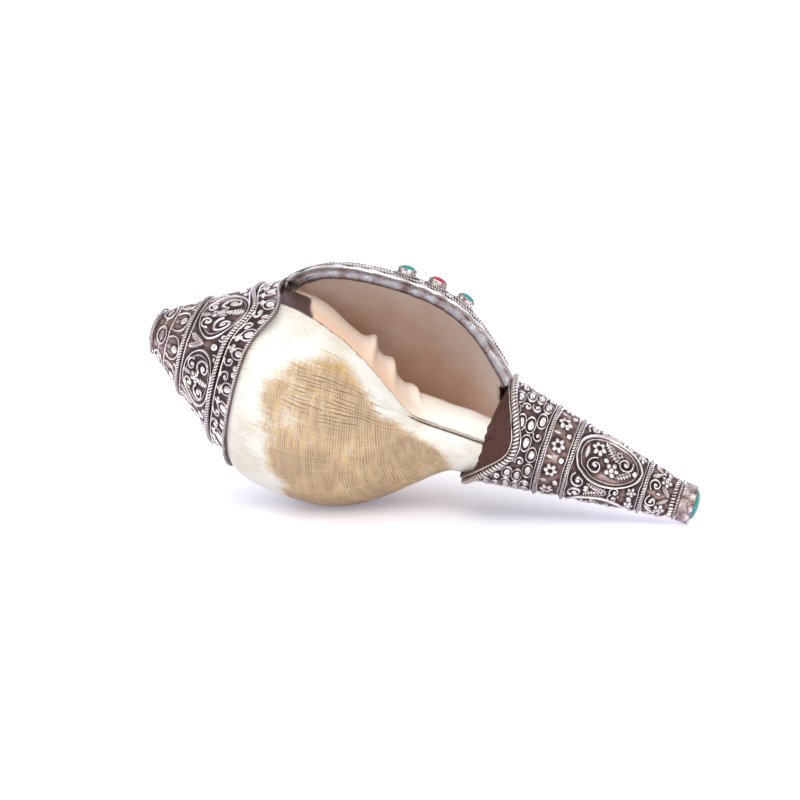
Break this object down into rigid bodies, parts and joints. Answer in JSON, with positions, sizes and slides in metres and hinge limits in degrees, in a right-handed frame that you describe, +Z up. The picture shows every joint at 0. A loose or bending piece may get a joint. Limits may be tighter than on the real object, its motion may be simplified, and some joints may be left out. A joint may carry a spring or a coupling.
{
  "type": "conch shell trumpet",
  "caption": "Conch shell trumpet: a spiral shell with an open mouth, a silver cone and mouthpiece over its spire, a silver-bound lip set with stones and a long tapered silver tail.",
  "frame": {"origin": "middle of the box that holds the instrument, on the surface it rests on", "axes": "+X from the mouthpiece towards the stone in the tail, +Z up, -Y towards the side on which the shell's mouth opens"},
  "size_m": [0.2924, 0.117, 0.1294],
  "materials": {
    "shell": "natural shell: white and ochre outside with growth lines, glossy peach and taupe inside",
    "silver": "embossed aged silver sheet, bright on the high places and dark red-brown in the hollows",
    "lac": "dark red-brown lac cement",
    "turquoise": "polished green-blue turquoise cabochon",
    "coral": "polished red coral cabochon"
  },
  "bodies": {
    "root": {"conch_shell": "shell", "spire_cap": "silver", "mouthpiece_ring": "silver", "blow_tube": "silver", "mouthpiece_rim_wire": "silver", "cap_rope_front": "silver", "cap_rope_rear": "silver", "cap_edge_wire": "silver", "lip_binding": "silver", "lip_band": "silver", "lip_wire_front": "silver", "lip_wire_rear": "silver", "bezel_cup_1": "silver", "bezel_cup_2": "silver", "bezel_cup_3": "silver", "bezel_rope_1": "silver", "bezel_rope_2": "silver", "bezel_rope_3": "silver", "tail_sleeve": "silver", "tail_rim_rope": "silver", "tail_rope_1": "silver", "tail_rope_2": "silver", "tail_rope_3": "silver", "tail_rope_4": "silver", "tail_collar": "silver", "tail_end_bezel": "silver", "cap_lac_bed": "lac", "tail_lac_lining": "lac", "tail_end_plug": "lac", "lip_stone_1": "turquoise", "lip_stone_2": "coral", "lip_stone_3": "turquoise", "tail_end_stone": "turquoise"}
  },
  "joints": []
}
